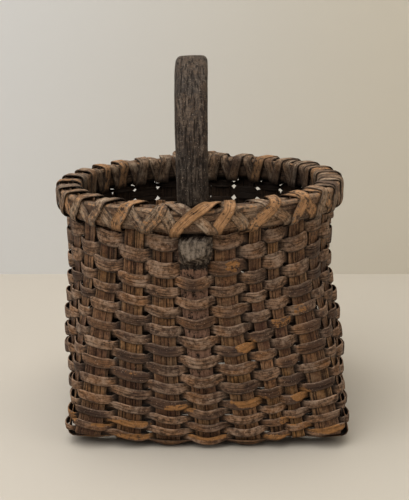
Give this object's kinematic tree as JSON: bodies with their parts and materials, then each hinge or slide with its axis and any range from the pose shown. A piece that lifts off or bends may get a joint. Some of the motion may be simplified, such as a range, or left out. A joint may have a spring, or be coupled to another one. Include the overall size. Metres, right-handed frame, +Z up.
{
  "type": "splint basket",
  "caption": "Hand woven wood splint basket with a square base, a round lashed rim and a fixed bent bail handle hooked under the rim.",
  "frame": {"origin": "on the ground under the middle of the woven base, on the underside of the middle side to side stake", "axes": "+Z up through the basket, -Y towards the front, where one end of the handle comes down, +X to the right"},
  "size_m": [0.2339, 0.2444, 0.2873],
  "materials": {
    "stake_wood": "dark aged ash splint, unfinished, with open grain",
    "weaver_wood": "dark grey brown aged splint, worn to orange where rubbed",
    "hoop_wood": "dark aged bent wood",
    "lash_wood": "aged narrow splint, warm brown with worn edges",
    "handle_wood": "dark bent hardwood, polished by hands along its edges"
  },
  "bodies": {
    "root": {"stake_front_to_back_1": "stake_wood", "stake_front_to_back_2": "stake_wood", "stake_front_to_back_3": "stake_wood", "stake_front_to_back_4": "stake_wood", "stake_front_to_back_5": "stake_wood", "stake_front_to_back_6": "stake_wood", "stake_front_to_back_7": "stake_wood", "stake_left_to_right_1": "stake_wood", "stake_left_to_right_2": "stake_wood", "stake_left_to_right_3": "stake_wood", "stake_left_to_right_4": "stake_wood", "stake_left_to_right_5": "stake_wood", "stake_left_to_right_6": "stake_wood", "stake_left_to_right_7": "stake_wood", "weaver_1": "weaver_wood", "weaver_2": "weaver_wood", "weaver_3": "weaver_wood", "weaver_4": "weaver_wood", "weaver_5": "weaver_wood", "weaver_6": "weaver_wood", "weaver_7": "weaver_wood", "weaver_8": "weaver_wood", "hoop_inner": "hoop_wood", "hoop_outer": "hoop_wood", "lashing_under_1": "lash_wood", "lashing_under_2": "lash_wood", "lashing_over_1": "lash_wood", "lashing_over_2": "lash_wood", "handle": "handle_wood"}
  },
  "joints": []
}
